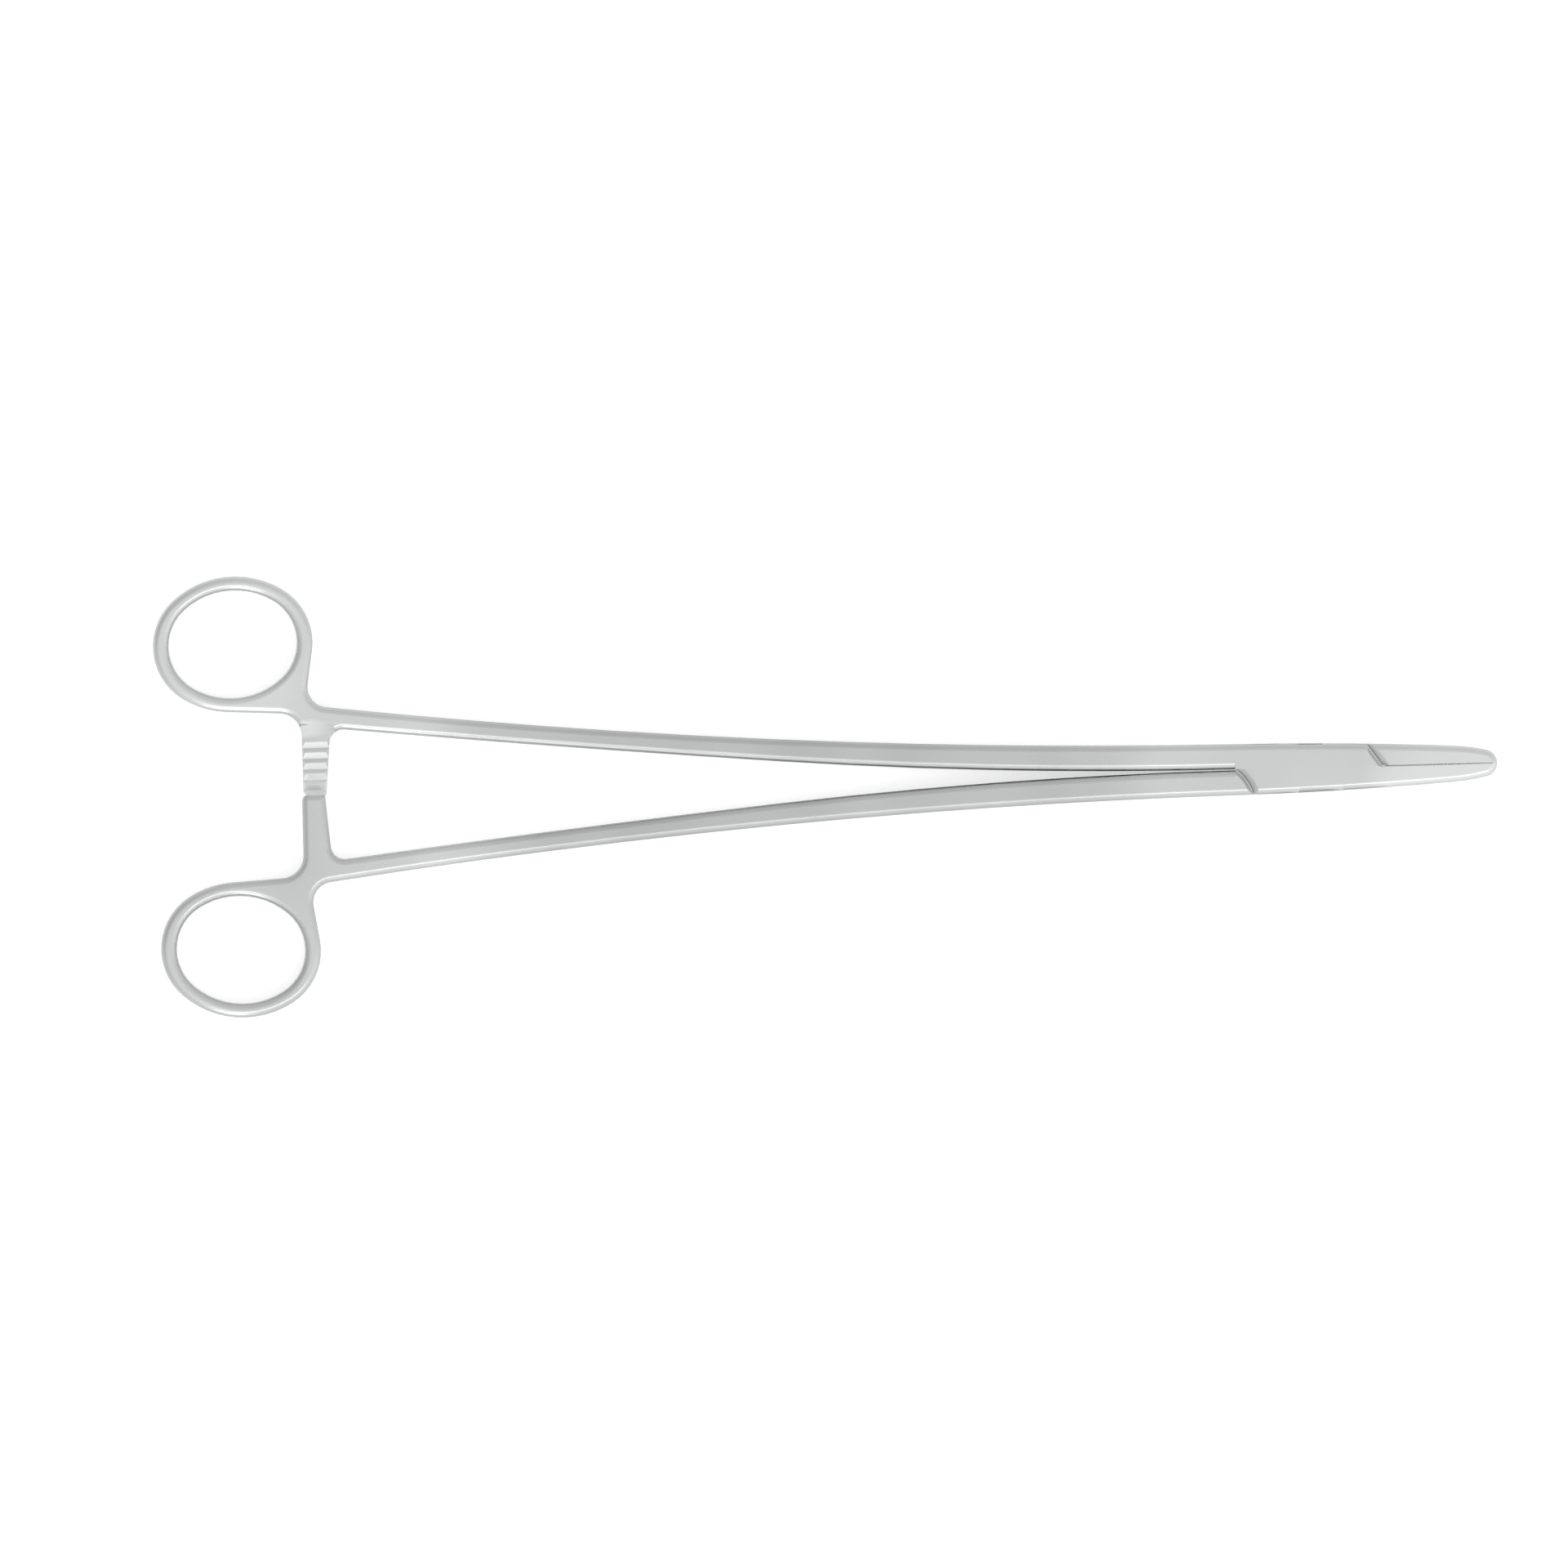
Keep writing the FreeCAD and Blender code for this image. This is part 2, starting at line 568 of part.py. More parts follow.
def make_tongue_half():
    body = turned_over(cut_ratchet(blank(TONGUE_ARM_X), TONGUE_ARM_X))
    kept_back, centre = round_end_tool(BACK_SHOULDER_RADIUS - SHOULDER_GAP, -NARROW_BEVEL, NARROW_BEVEL)
    kept_front = straight_end_tool(SHOULDER_GAP, WIDE_BEVEL, WIDE_BEVEL_DEPTH, FAR)
    over = [(centre.x, -FAR), (FAR, -FAR), (FAR, FAR), (centre.x, FAR)]
    tongue_low = MIDDLE_Z - TONGUE_THICKNESS / 2
    cheek_space = both_faces(plate(over, -OVERRUN, tongue_low)).cut([kept_back, kept_front])
    front_wall = stop_line(LANE_CLEARANCE)
    under_jaw = [at_height(front_wall, -FAR / 2)] + serrated_line(-1, SERRATION_PITCH / 2)
    under_jaw = plate(under_jaw + [(TIP_X + FAR, -FAR / 2)], -OVERRUN, LOCK_THICKNESS + OVERRUN)
    back_wall = (-front_wall[0], -front_wall[1])
    shank_edge = -SHANK_GAP_AT_LOCK
    above_tongue = [
        at_height(back_wall, shank_edge),
        at_height(back_wall, FAR / 2),
        (LOCK_BACK_X - 1, FAR / 2),
        (LOCK_BACK_X - 1, shank_edge),
    ]
    behind = plate(above_tongue, -OVERRUN, LOCK_THICKNESS + OVERRUN)
    bore = Part.makeCylinder(PIN_RADIUS + PIN_CLEARANCE, LOCK_THICKNESS)
    return body.cut([cheek_space, under_jaw, behind, bite_bevel(-1), bore])


def pin_shape():
    """Straight pin whose ends are spread to fill a countersink in each cheek, then ground flush."""
    pin = Part.makeCylinder(PIN_RADIUS, LOCK_THICKNESS)
    head = Part.makeCone(PIN_HEAD_RADIUS, PIN_RADIUS, PIN_HEAD_DEPTH)
    return pin.fuse(both_faces(head)).removeSplitter()


if __name__ == "__main__":
    os.makedirs("parts", exist_ok=True)
    pieces = {
        "box_half": make_box_half(),
        "tongue_half": make_tongue_half(),
        "pivot_pin": pin_shape(),
    }
    for name, shape in pieces.items():
        solid = shape.removeSplitter()
        print(name, "solids:", len(solid.Solids), "cubic mm:", round(solid.Volume, 1))
        solid.Solids[0].exportStep("parts/" + name + ".step")
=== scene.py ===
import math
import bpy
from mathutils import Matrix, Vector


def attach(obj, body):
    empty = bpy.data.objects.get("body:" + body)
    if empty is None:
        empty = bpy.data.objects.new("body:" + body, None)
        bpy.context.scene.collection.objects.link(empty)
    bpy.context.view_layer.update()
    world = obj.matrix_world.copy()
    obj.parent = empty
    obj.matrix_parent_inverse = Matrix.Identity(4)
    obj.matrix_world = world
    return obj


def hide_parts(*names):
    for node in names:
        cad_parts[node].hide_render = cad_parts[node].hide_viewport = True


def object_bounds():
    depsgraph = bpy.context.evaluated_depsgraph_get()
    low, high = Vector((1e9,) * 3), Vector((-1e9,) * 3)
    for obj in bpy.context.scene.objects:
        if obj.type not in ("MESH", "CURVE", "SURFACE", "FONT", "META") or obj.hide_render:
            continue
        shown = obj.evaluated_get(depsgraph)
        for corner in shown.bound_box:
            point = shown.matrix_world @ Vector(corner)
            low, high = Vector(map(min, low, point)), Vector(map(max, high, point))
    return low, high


bl_info = {
    "name": "Ring-handled forceps",
    "version": (1, 0, 0),
    "blender": (4, 5, 0),
    "location": "3D View > Sidebar > Forceps",
    "description": "Finishes a box-lock forceps in polished satin steel and sets the studio around it",
    "category": "Object",
}

import bmesh
import bpy
from mathutils import Vector

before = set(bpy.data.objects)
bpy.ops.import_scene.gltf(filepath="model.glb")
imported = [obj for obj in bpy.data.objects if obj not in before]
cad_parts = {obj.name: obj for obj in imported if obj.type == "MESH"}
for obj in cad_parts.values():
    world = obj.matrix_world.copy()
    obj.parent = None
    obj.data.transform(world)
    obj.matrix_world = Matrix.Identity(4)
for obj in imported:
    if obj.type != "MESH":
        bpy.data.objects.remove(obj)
CAD_BOX = [list(corner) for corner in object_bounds()]

MERGE_DISTANCE = 1e-6
FLAT_ANGLE = math.radians(0.02)
WORLD_TOP = 1.08

# The ground form in metres: the radius of its edges, half its thickness, and each taper along it
# as where it starts and ends and the thickness there
EDGE_ROUND = 0.0013
MIDDLE_Z = 0.0029
TAPERS = (
    (-0.186, -0.15, 0.0058, 0.0046),
    (-0.062, -0.015, 0.0046, 0.0058),
    (0.015, 0.0384, 0.0058, 0.0036),
)
LOCK_HALF_LENGTH = 0.0152
LOCK_HALF_FLAT = 0.003
LOCK_SIDE_LEAN = 0.025
ROUND_FROM = 0.00158
SAME_FORM = math.radians(30.0)
EASE_WEIGHTS = (1.2, 1.8)
SLOPE_STEP = 1e-5

# Zones of the steel in metres behind the pivot, and how much lighter or darker each is.
# The catch's teeth and scoop get painted light, a lighter tone that follows the photo seen from above; from
# low angles its scoop looks too white.
CATCH_BEHIND = (0.1885, 0.1952)
CATCH_SIDEWAYS = (-0.001, 0.0146)
CATCH_ABOVE_MIDDLE = (-0.0009, 0.0028)
CATCH_END = (0.001, 0.006)
CATCH_PAINTED_LIGHT = (0.3, 0.1)
CATCH_ROUGHER = 0.22
SCOOP_FROM = (0.0109, 0.0114)
SCOOP_PAINTED_LIGHT = 0.24
JAWS_FROM = (-0.016, -0.009)
RINGS_FROM = (0.184, 0.2)
ZONE_TONE = 0.06
LOWER_HANDLE_DARKER = 0.14
SHANK_ROUGHER = 0.05

# Fine surface: cloudy tone, grain along the instrument, waviness, and no worn edge at the pin's rim
CLOUD_SCALE = 42.0
CLOUD_TONE = 0.05
GRAIN_STRETCH = (1.0, 22.0, 22.0)
GRAIN_SCALE = 190.0
GRAIN_ROUGHNESS = (-0.03, 0.05)
WAVE_SCALE = 75.0
WAVE_HEIGHT = 0.000015
SCRATCH_HEIGHT = 0.000001
PIN_SURROUND = 0.0026

# Studio: table, surroundings, lamps and camera
TABLE_HALF_SIZE = 3.0
TABLE_DROP = 0.0002
TABLE_GLOW_TO_EYE = 0.5
TABLE_GLOW_TO_METAL = 0.1
WORLD_STOPS = ((0.0, 1.0), (0.3, 1.0), (0.5, 0.93), (0.7, 0.78), (1.0, 0.72))
WORLD_HANDLE_END = 0.72
LAMPS = (
    ("strip", (0.05, -0.56, 1.06), (0.05, 0.0, 0.0), (0.9, 0.26), 0.8),
    ("handle softbox", (-0.3, -0.6, 0.34), (-0.19, 0.0, 0.0), (0.22, 0.4), 0.31),
)
CAMERA_PLACE = (-0.10187, -0.00035, 1.0)


class ForcepsFinish(bpy.types.PropertyGroup):
    steel_colour: bpy.props.FloatVectorProperty(
        name="Steel colour",
        description="Colour of the bare steel on the lock, the jaws and the rings",
        subtype="COLOR",
        size=3,
        min=0.0,
        max=1.0,
        default=(0.629, 0.643, 0.636),
    )
    shank_tone: bpy.props.FloatProperty(
        name="Shank tone",
        description="How much of the steel's brightness the satin shanks keep",
        subtype="FACTOR",
        min=0.3,
        max=1.0,
        default=0.8,
    )
    shank_from: bpy.props.FloatProperty(
        name="Shank from",
        description="Distance behind the pivot at which the satin shanks start",
        unit="LENGTH",
        default=0.024,
    )
    shank_to: bpy.props.FloatProperty(
        name="Shank to",
        description="Distance behind the pivot at which the satin shanks end",
        unit="LENGTH",
        default=0.176,
    )
    shank_fade: bpy.props.FloatProperty(
        name="Shank fade",
        description="Length over which the satin finish fades out",
        unit="LENGTH",
        default=0.03,
    )
    steel_roughness: bpy.props.FloatProperty(
        name="Steel roughness",
        description="How satin the polished steel is",
        subtype="FACTOR",
        min=0.05,
        max=1.0,
        default=0.24,
    )
    edge_softness: bpy.props.FloatProperty(
        name="Edge softness",
        description="Radius to which polishing has worn the crisp edges",
        unit="LENGTH",
        default=0.00012,
    )
    smooth_angle: bpy.props.FloatProperty(
        name="Smooth angle",
        description="Edges flatter than this are shaded as one surface",
        subtype="ANGLE",
        default=math.radians(28.0),
    )


class ForcepsStudio(bpy.types.PropertyGroup):
    view_width: bpy.props.FloatProperty(
        name="View width",
        description="Width of the square that the camera sees",
        unit="LENGTH",
        default=0.3038,
    )
    view_turn: bpy.props.FloatProperty(
        name="View turn",
        description="How far the camera is turned about the upright",
        subtype="ANGLE",
        default=math.radians(-1.57),
    )
    floor_colour: bpy.props.FloatVectorProperty(
        name="Floor colour",
        description="Colour of the table under the instrument",
        subtype="COLOR",
        size=3,
        min=0.0,
        max=1.0,
        default=(0.86, 0.86, 0.86),
    )


def add(tree, kind, **settings):
    """A new node with the properties given."""
    node = tree.nodes.new("ShaderNode" + kind)
    for name, value in settings.items():
        setattr(node, name, value)
    return node


def wire(tree, source, target):
    tree.links.new(source, target)


def calc(tree, operation, first, second):
    """A maths node on two numbers or sockets, and its result."""
    node = add(tree, "Math", operation=operation)
    for socket, value in zip(node.inputs, (first, second)):
        if isinstance(value, bpy.types.NodeSocket):
            wire(tree, value, socket)
        else:
            socket.default_value = value
    return node.outputs[0]


def noise(tree, place, scale, detail=2.0):
    node = add(tree, "TexNoise")
    node.inputs["Scale"].default_value = scale
    node.inputs["Detail"].default_value = detail
    wire(tree, place, node.inputs["Vector"])
    return node.outputs["Fac"]


def spread(tree, value, low, high, new_low, new_high):
    """Maps a value smoothly from one range to another."""
    node = add(tree, "MapRange", interpolation_type="SMOOTHSTEP")
    wire(tree, value, node.inputs["Value"])
    for name, number in zip(("From Min", "From Max", "To Min", "To Max"), (low, high, new_low, new_high)):
        node.inputs[name].default_value = number
    return node.outputs[0]


def steel_group():
    """Node group for the steel: zones of tone, painted light on the catch, cloudiness, faint grain,
    waviness and worn edges.
    """
    if "polished steel" in bpy.data.node_groups:
        return bpy.data.node_groups["polished steel"]
    finish = bpy.context.scene.forceps_finish
    tree = bpy.data.node_groups.new("polished steel", "ShaderNodeTree")
    inputs = (
        ("Colour", "NodeSocketColor", (0.7, 0.7, 0.7, 1.0)),
        ("Roughness", "NodeSocketFloat", 0.25),
        ("Shank Tone", "NodeSocketFloat", 0.8),
    )
    for name, kind, default in inputs:
        tree.interface.new_socket(name, in_out="INPUT", socket_type=kind).default_value = default
    outputs = (
        ("Colour", "NodeSocketColor"),
        ("Roughness", "NodeSocketFloat"),
        ("Normal", "NodeSocketVector"),
    )
    for name, kind in outputs:
        tree.interface.new_socket(name, in_out="OUTPUT", socket_type=kind)
    given = tree.nodes.new("NodeGroupInput")
    result = tree.nodes.new("NodeGroupOutput")
    place = add(tree, "TexCoord").outputs["Object"]

    axes = add(tree, "SeparateXYZ")
    wire(tree, place, axes.inputs[0])
    behind = calc(tree, "MULTIPLY", axes.outputs["X"], -1.0)
    fade = finish.shank_fade
    starts = spread(tree, behind, finish.shank_from, finish.shank_from + fade, 0.0, 1.0)
    ends = spread(tree, behind, finish.shank_to - fade, finish.shank_to, 1.0, 0.0)
    on_shank = calc(tree, "MULTIPLY", starts, ends)

    toothed_side = calc(tree, "SIGN", axes.outputs["Y"], 0.0)
    above_middle = calc(tree, "MULTIPLY", calc(tree, "SUBTRACT", axes.outputs["Z"], MIDDLE_Z), toothed_side)
    windows = (
        (behind, *CATCH_BEHIND),
        (calc(tree, "ABSOLUTE", axes.outputs["Y"], 0.0), *CATCH_SIDEWAYS),
        (above_middle, *CATCH_ABOVE_MIDDLE),
    )
    on_ratchet = 1.0
    for value, low, high in windows:
        past_low = calc(tree, "GREATER_THAN", value, low)
        inside = calc(tree, "MULTIPLY", past_low, calc(tree, "LESS_THAN", value, high))
        on_ratchet = calc(tree, "MULTIPLY", inside, on_ratchet)
    on_jaws = spread(tree, behind, *JAWS_FROM, 1.0, 0.0)
    on_lower = calc(tree, "MULTIPLY", on_jaws, calc(tree, "LESS_THAN", axes.outputs["Y"], 0.0))
    on_rings = spread(tree, behind, *RINGS_FROM, 0.0, 1.0)
    zones = calc(tree, "ADD", calc(tree, "ADD", on_jaws, on_lower), on_rings)
    brighter = calc(tree, "MULTIPLY", zones, ZONE_TONE)
    lower_handle = calc(tree, "MULTIPLY", on_rings, calc(tree, "LESS_THAN", axes.outputs["Y"], 0.0))
    brighter = calc(tree, "SUBTRACT", brighter, calc(tree, "MULTIPLY", lower_handle, LOWER_HANDLE_DARKER))
    sideways = calc(tree, "ABSOLUTE", axes.outputs["Y"], 0.0)
    # Painted light: a lighter tone on the catch's teeth, most near the arm's end, and on its scoop, in
    # place of light their slopes don't catch
    catch_painted_light = spread(tree, sideways, *CATCH_END, *CATCH_PAINTED_LIGHT)
    catch_painted_light = calc(tree, "ADD", catch_painted_light, spread(tree, sideways, *SCOOP_FROM, 0.0, SCOOP_PAINTED_LIGHT))

    cloud = spread(tree, noise(tree, place, CLOUD_SCALE, 1.0), 0.3, 0.7, -CLOUD_TONE, CLOUD_TONE)
    drop = calc(tree, "MULTIPLY", on_shank, calc(tree, "SUBTRACT", 1.0, given.outputs["Shank Tone"]))
    tone = calc(tree, "ADD", calc(tree, "SUBTRACT", 1.0, drop), cloud)
    tone = calc(tree, "ADD", tone, calc(tree, "MULTIPLY", on_ratchet, catch_painted_light))
    tone = calc(tree, "ADD", tone, brighter)
    colour = add(tree, "VectorMath", operation="SCALE")
    wire(tree, given.outputs["Colour"], colour.inputs[0])
    wire(tree, tone, colour.inputs["Scale"])
    wire(tree, colour.outputs[0], result.inputs["Colour"])

    grain_map = add(tree, "Mapping")
    grain_map.inputs["Scale"].default_value = GRAIN_STRETCH
    wire(tree, place, grain_map.inputs["Vector"])
    grain = noise(tree, grain_map.outputs[0], GRAIN_SCALE, 3.0)
    uneven = spread(tree, grain, 0.25, 0.75, *GRAIN_ROUGHNESS)
    uneven = calc(tree, "ADD", uneven, calc(tree, "MULTIPLY", on_shank, SHANK_ROUGHER))
    uneven = calc(tree, "ADD", uneven, calc(tree, "MULTIPLY", on_ratchet, CATCH_ROUGHER))
    wire(tree, calc(tree, "ADD", given.outputs["Roughness"], uneven), result.inputs["Roughness"])

    from_axis = add(tree, "VectorMath", operation="LENGTH")
    flat_place = add(tree, "CombineXYZ")
    wire(tree, axes.outputs["X"], flat_place.inputs["X"])
    wire(tree, axes.outputs["Y"], flat_place.inputs["Y"])
    wire(tree, flat_place.outputs[0], from_axis.inputs[0])
    off_pin = calc(tree, "GREATER_THAN", from_axis.outputs["Value"], PIN_SURROUND)
    worn = add(tree, "Bevel", samples=6)
    wire(tree, calc(tree, "MULTIPLY", off_pin, finish.edge_softness), worn.inputs["Radius"])
    wave = add(tree, "Bump")
    wave.inputs["Strength"].default_value = 1.0
    wave.inputs["Distance"].default_value = WAVE_HEIGHT
    wire(tree, noise(tree, place, WAVE_SCALE, 1.0), wave.inputs["Height"])
    wire(tree, worn.outputs[0], wave.inputs["Normal"])
    scratch = add(tree, "Bump")
    scratch.inputs["Strength"].default_value = 1.0
    scratch.inputs["Distance"].default_value = SCRATCH_HEIGHT
    wire(tree, grain, scratch.inputs["Height"])
    wire(tree, wave.outputs[0], scratch.inputs["Normal"])
    wire(tree, scratch.outputs[0], result.inputs["Normal"])
    return tree


def steel_material(name):
    """Polished stainless steel with satin shanks."""
    finish = bpy.context.scene.forceps_finish
    material = bpy.data.materials.new(name)
    material.use_nodes = True
    tree = material.node_tree
    shader = tree.nodes["Principled BSDF"]
    shader.inputs["Metallic"].default_value = 1.0
    steel = tree.nodes.new("ShaderNodeGroup")
    steel.node_tree = steel_group()
    steel.inputs["Colour"].default_value = (*finish.steel_colour, 1.0)
    steel.inputs["Roughness"].default_value = finish.steel_roughness
    steel.inputs["Shank Tone"].default_value = finish.shank_tone
    wire(tree, steel.outputs["Colour"], shader.inputs["Base Color"])
    wire(tree, steel.outputs["Roughness"], shader.inputs["Roughness"])
    wire(tree, steel.outputs["Normal"], shader.inputs["Normal"])
    return material


def half_thickness(x):
    """Half the thickness of the instrument at a place along it."""
    for start, end, thick, after in TAPERS:
        if x <= start:
            return thick / 2
        if x < end:
            low, high = 0.0, 1.0
            first, second = EASE_WEIGHTS
            for _ in range(30):
                t = (low + high) / 2
                along = first * t * (1 - t) ** 2 + second * t * t * (1 - t) + t**3
                low, high = (t, high) if start + (end - start) * along < x else (low, t)
            return (thick + (after - thick) * t * t * (3 - 2 * t)) / 2
    return TAPERS[-1][3] / 2


def form_tilt(place):
    """How far the ground form leans at a height: nothing on its faces, a quarter turn on its walls."""
    lift = (abs(place.z - MIDDLE_Z) - half_thickness(place.x) + EDGE_ROUND) / EDGE_ROUND
    return math.acos(min(max(lift, 0.0), 1.0)) if lift < 0.999 else 0.0


def on_lock_round(mesh, face):
    """Whether a facet belongs to the rounded long sides of the lock."""
    level = math.hypot(face.normal.x, face.normal.y)
    places = [mesh.vertices[index].co for index in face.vertices]
    return (
        level > 0.05
        and abs(face.normal.x) < 0.3 * level
        and all(abs(place.x) < LOCK_HALF_LENGTH for place in places)
        and all(abs(place.y) > LOCK_HALF_FLAT for place in places)
        and all(abs(place.z - MIDDLE_Z) > ROUND_FROM for place in places)
    )


def true_normal(place, guess, sure):
    """The ground form's own normal at a place, or None where the guess seems to belong to a cut."""
    side = 1.0 if place.z > MIDDLE_Z else -1.0
    slope = (half_thickness(place.x + SLOPE_STEP) - half_thickness(place.x)) / SLOPE_STEP
    tilt = form_tilt(place)
    outward = Vector((guess.x, guess.y, 0.0))
    if sure:
        outward = Vector((LOCK_SIDE_LEAN, 1.0 if place.y > 0 else -1.0, 0.0))
    elif abs(math.acos(min(max(guess.z * side, -1.0), 1.0)) - tilt) > SAME_FORM:
        return None
    top = Vector((-slope, 0.0, side)).normalized()
    if outward.length < 1e-4:
        return top
    return (top * math.cos(tilt) + outward.normalized() * math.sin(tilt)).normalized()


def ground_normals(mesh):
    """Gives the rounded outline and the tapered faces their own normals, free of the facets' unevenness."""
    normals = [corner.vector.copy() for corner in mesh.corner_normals]
    for face in mesh.polygons:
        sure = on_lock_round(mesh, face)
        better = {}
        for corner in face.loop_indices:
            place = mesh.vertices[mesh.loops[corner].vertex_index].co
            better[corner] = true_normal(place, normals[corner], sure)
        if None not in better.values():
            for corner, normal in better.items():
                normals[corner] = normal
    mesh.normals_split_custom_set(normals)


def finished(node, body, slot):
    """A merged copy of a CAD piece with clean smooth shading, which stands for the piece."""
    finish = bpy.context.scene.forceps_finish
    form = bmesh.new()
    form.from_mesh(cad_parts[node].data)
    bmesh.ops.remove_doubles(form, verts=form.verts, dist=MERGE_DISTANCE)
    bmesh.ops.dissolve_limit(form, angle_limit=FLAT_ANGLE, verts=form.verts, edges=form.edges)
    for face in form.faces:
        face.smooth = True
    for edge in form.edges:
        edge.smooth = edge.is_manifold and edge.calc_face_angle() < finish.smooth_angle
    mesh = bpy.data.meshes.new(node + "_steel")
    form.to_mesh(mesh)
    form.free()
    ground_normals(mesh)
    piece = bpy.data.objects.new(node + "_steel", mesh)
    bpy.context.collection.objects.link(piece)
    mesh.materials.append(steel_material(slot.replace("_", " ")))
    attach(piece, body)
    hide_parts(node)
    return piece


class FORCEPS_OT_box_half(bpy.types.Operator):
    """Finish the slotted half"""

    bl_idname = "forceps.box_half"
    bl_label = "Finish the slotted half"

    def execute(self, context):
        finished("box_half", "box_half_body", "box_half_steel")
        return {"FINISHED"}


class FORCEPS_OT_tongue_half(bpy.types.Operator):
    """Finish the half whose tongue passes through the slot"""

    bl_idname = "forceps.tongue_half"
    bl_label = "Finish the tongue half"

    def execute(self, context):
        finished("tongue_half", "tongue_half_body", "tongue_half_steel")
        return {"FINISHED"}


class FORCEPS_OT_pivot_pin(bpy.types.Operator):
    """Finish the riveted pin"""

    bl_idname = "forceps.pivot_pin"
    bl_label = "Finish the pin"

    def execute(self, context):
        finished("pivot_pin", "box_half_body", "pin_steel")
        return {"FINISHED"}


def table_material(colour):
    material = bpy.data.materials.new("table")
    material.use_nodes = True
    tree = material.node_tree
    tree.nodes.clear()
    out = add(tree, "OutputMaterial")
    both = add(tree, "AddShader")
    matt = add(tree, "BsdfDiffuse")
    matt.inputs["Color"].default_value = (*colour, 1.0)
    glow = add(tree, "Emission")
    path = add(tree, "LightPath")
    to_metal = calc(tree, "MAXIMUM", path.outputs["Is Glossy Ray"], path.outputs["Is Transmission Ray"])
    to_eye = calc(tree, "MULTIPLY", path.outputs["Is Camera Ray"], TABLE_GLOW_TO_EYE)
    to_metal = calc(tree, "MULTIPLY", to_metal, TABLE_GLOW_TO_METAL)
    wire(tree, calc(tree, "ADD", to_metal, to_eye), glow.inputs["Strength"])
    wire(tree, matt.outputs[0], both.inputs[0])
    wire(tree, glow.outputs[0], both.inputs[1])
    wire(tree, both.outputs[0], out.inputs["Surface"])
    return material


def studio_world():
    """Soft surroundings: brightest on the lower handle's side (-Y), duller on +Y and towards the rings."""
    world = bpy.data.worlds.new("studio")
    world.use_nodes = True
    tree = world.node_tree
    background = tree.nodes["Background"]
    axes = add(tree, "SeparateXYZ")
    wire(tree, add(tree, "TexCoord").outputs["Generated"], axes.inputs[0])
    ramp = add(tree, "ValToRGB")
    ramp.color_ramp.interpolation = "EASE"
    while len(ramp.color_ramp.elements) < len(WORLD_STOPS):
        ramp.color_ramp.elements.new(0.5)
    for element, (place, value) in zip(ramp.color_ramp.elements, WORLD_STOPS):
        element.position = place
        element.color = (value, value, value, 1.0)
    wire(tree, spread(tree, axes.outputs["Y"], -1.0, 1.0, 0.0, 1.0), ramp.inputs[0])
    level = add(tree, "VectorMath", operation="SCALE")
    wire(tree, ramp.outputs["Color"], level.inputs[0])
    wire(tree, spread(tree, axes.outputs["X"], -1.0, 0.0, WORLD_HANDLE_END, 1.0), level.inputs["Scale"])
    wire(tree, level.outputs[0], background.inputs["Color"])
    background.inputs["Strength"].default_value = WORLD_TOP
    return world


def lamp(name, place, target, size, power):
    light = bpy.data.lights.new(name, "AREA")
    light.shape = "RECTANGLE"
    light.size, light.size_y = size
    light.energy = power
    rig = bpy.data.objects.new(name, light)
    rig.location = place
    rig.rotation_euler = (Vector(target) - Vector(place)).to_track_quat("-Z", "Y").to_euler()
    bpy.context.collection.objects.link(rig)
    return rig


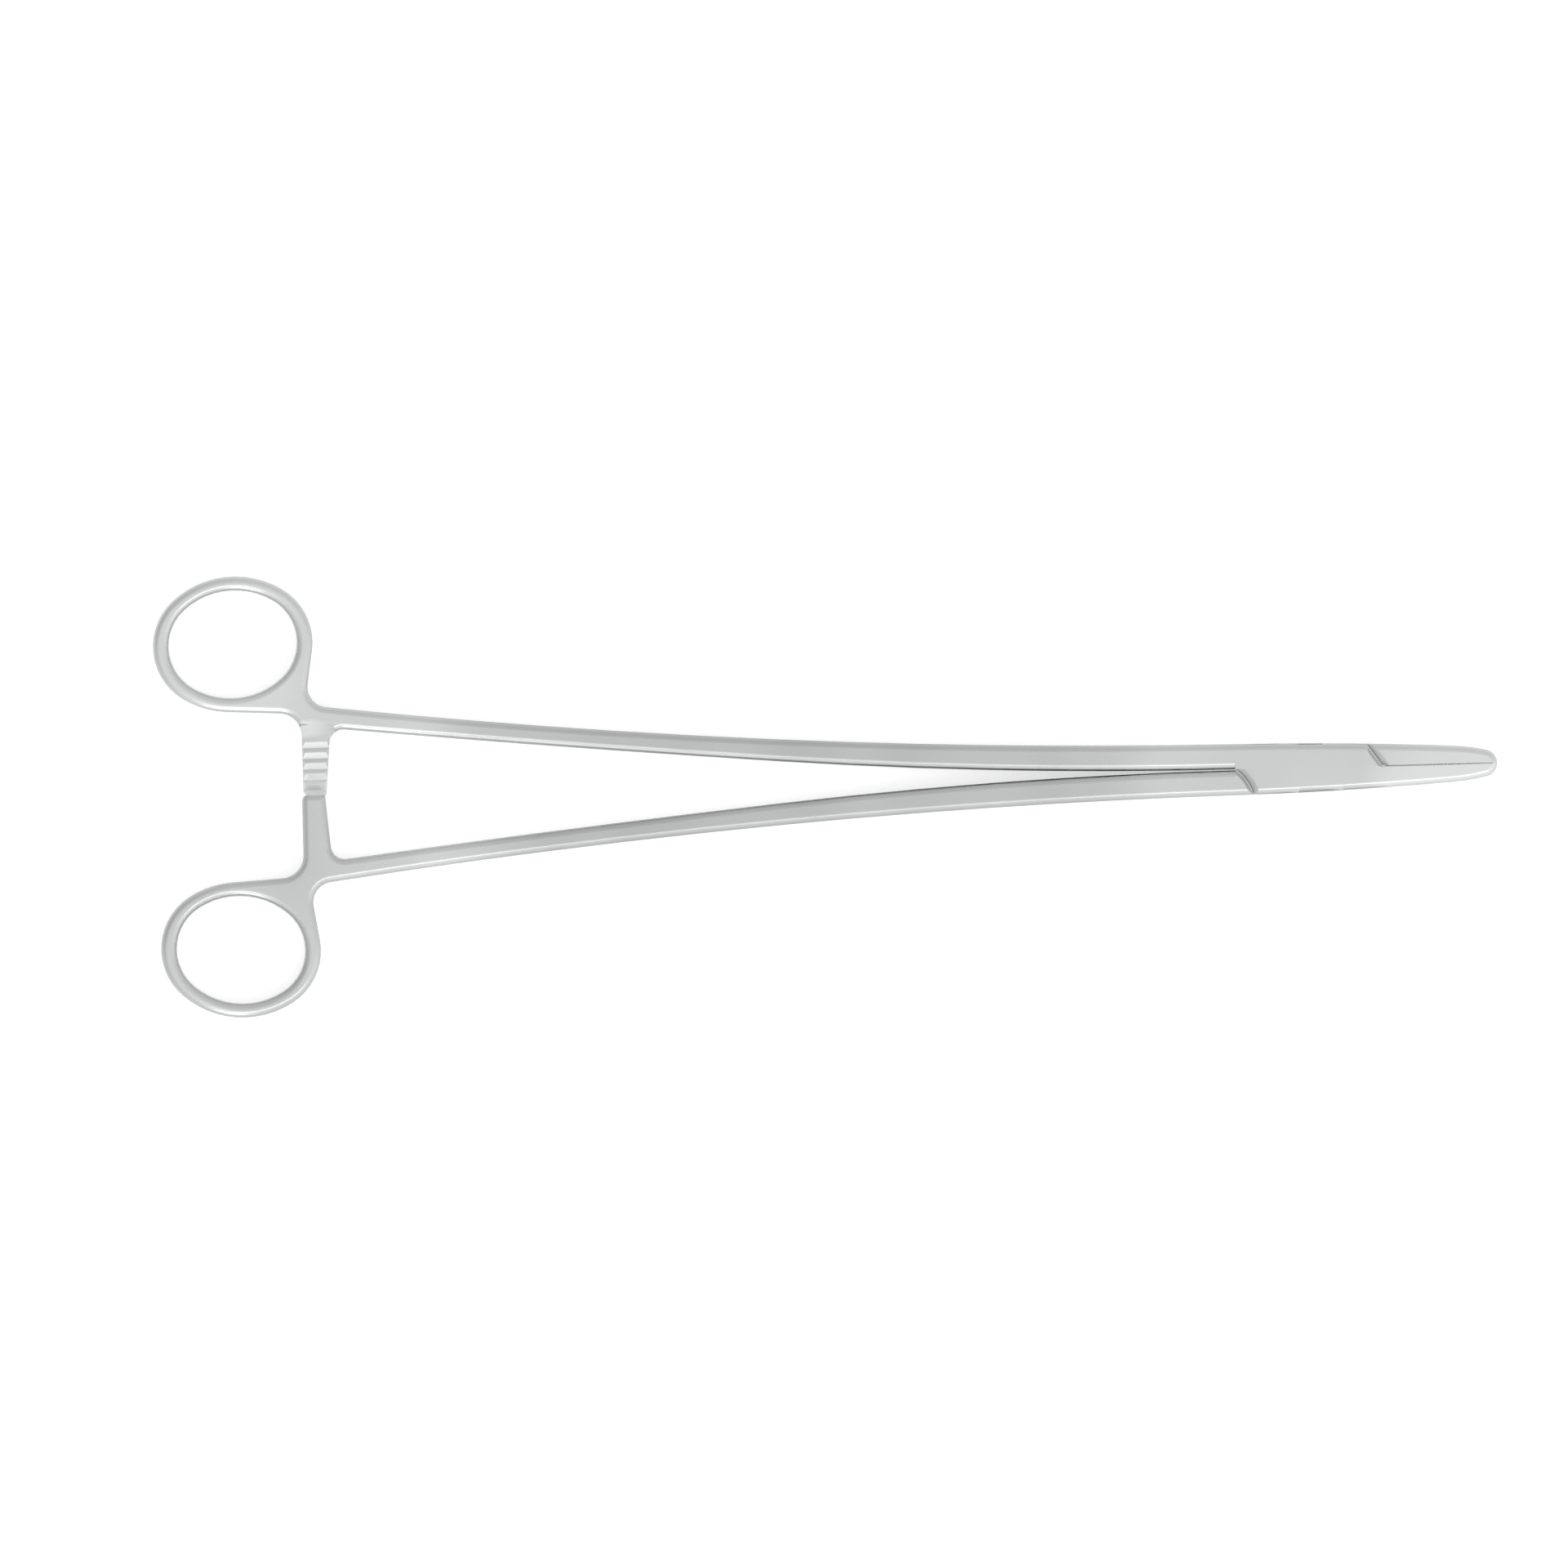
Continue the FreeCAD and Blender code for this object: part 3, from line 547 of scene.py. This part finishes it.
class FORCEPS_OT_studio(bpy.types.Operator):
    """Build the table, the lamps, the surroundings and the camera"""

    bl_idname = "forceps.studio"
    bl_label = "Build the studio"

    def execute(self, context):
        scene = context.scene
        studio = scene.forceps_studio
        low, high = (Vector(corner) for corner in CAD_BOX)
        middle = (low + high) / 2
        mesh = bpy.data.meshes.new("table")
        form = bmesh.new()
        bmesh.ops.create_grid(form, x_segments=1, y_segments=1, size=TABLE_HALF_SIZE)
        form.to_mesh(mesh)
        form.free()
        mesh.materials.append(table_material(studio.floor_colour))
        table = bpy.data.objects.new("table", mesh)
        table.location = (middle.x, middle.y, low.z - TABLE_DROP)
        context.collection.objects.link(table)

        scene.world = studio_world()
        for settings in LAMPS:
            lamp(*settings)

        camera_data = bpy.data.cameras.new("camera")
        camera_data.type = "ORTHO"
        camera_data.ortho_scale = studio.view_width
        camera_data.clip_end = 10.0
        camera = bpy.data.objects.new("camera", camera_data)
        camera.location = CAMERA_PLACE
        camera.rotation_euler = (0.0, 0.0, studio.view_turn)
        context.collection.objects.link(camera)
        scene.camera = camera
        scene.view_settings.view_transform = "Standard"
        return {"FINISHED"}


class FORCEPS_PT_panel(bpy.types.Panel):
    bl_label = "Forceps"
    bl_idname = "FORCEPS_PT_panel"
    bl_space_type = "VIEW_3D"
    bl_region_type = "UI"
    bl_category = "Forceps"

    def draw(self, context):
        layout = self.layout
        scene = context.scene
        for name in ForcepsFinish.__annotations__:
            layout.prop(scene.forceps_finish, name)
        for operator in (FORCEPS_OT_box_half, FORCEPS_OT_tongue_half, FORCEPS_OT_pivot_pin):
            layout.operator(operator.bl_idname)
        for name in ForcepsStudio.__annotations__:
            layout.prop(scene.forceps_studio, name)
        layout.operator(FORCEPS_OT_studio.bl_idname)


CLASSES = (
    ForcepsFinish,
    ForcepsStudio,
    FORCEPS_OT_box_half,
    FORCEPS_OT_tongue_half,
    FORCEPS_OT_pivot_pin,
    FORCEPS_OT_studio,
    FORCEPS_PT_panel,
)


def register():
    for cls in CLASSES:
        bpy.utils.register_class(cls)
    bpy.types.Scene.forceps_finish = bpy.props.PointerProperty(type=ForcepsFinish)
    bpy.types.Scene.forceps_studio = bpy.props.PointerProperty(type=ForcepsStudio)


def unregister():
    del bpy.types.Scene.forceps_studio
    del bpy.types.Scene.forceps_finish
    for cls in reversed(CLASSES):
        bpy.utils.unregister_class(cls)


def main():
    register()
    bpy.ops.forceps.box_half()
    bpy.ops.forceps.tongue_half()
    bpy.ops.forceps.pivot_pin()
    bpy.ops.forceps.studio()


if __name__ == "__main__":
    main()
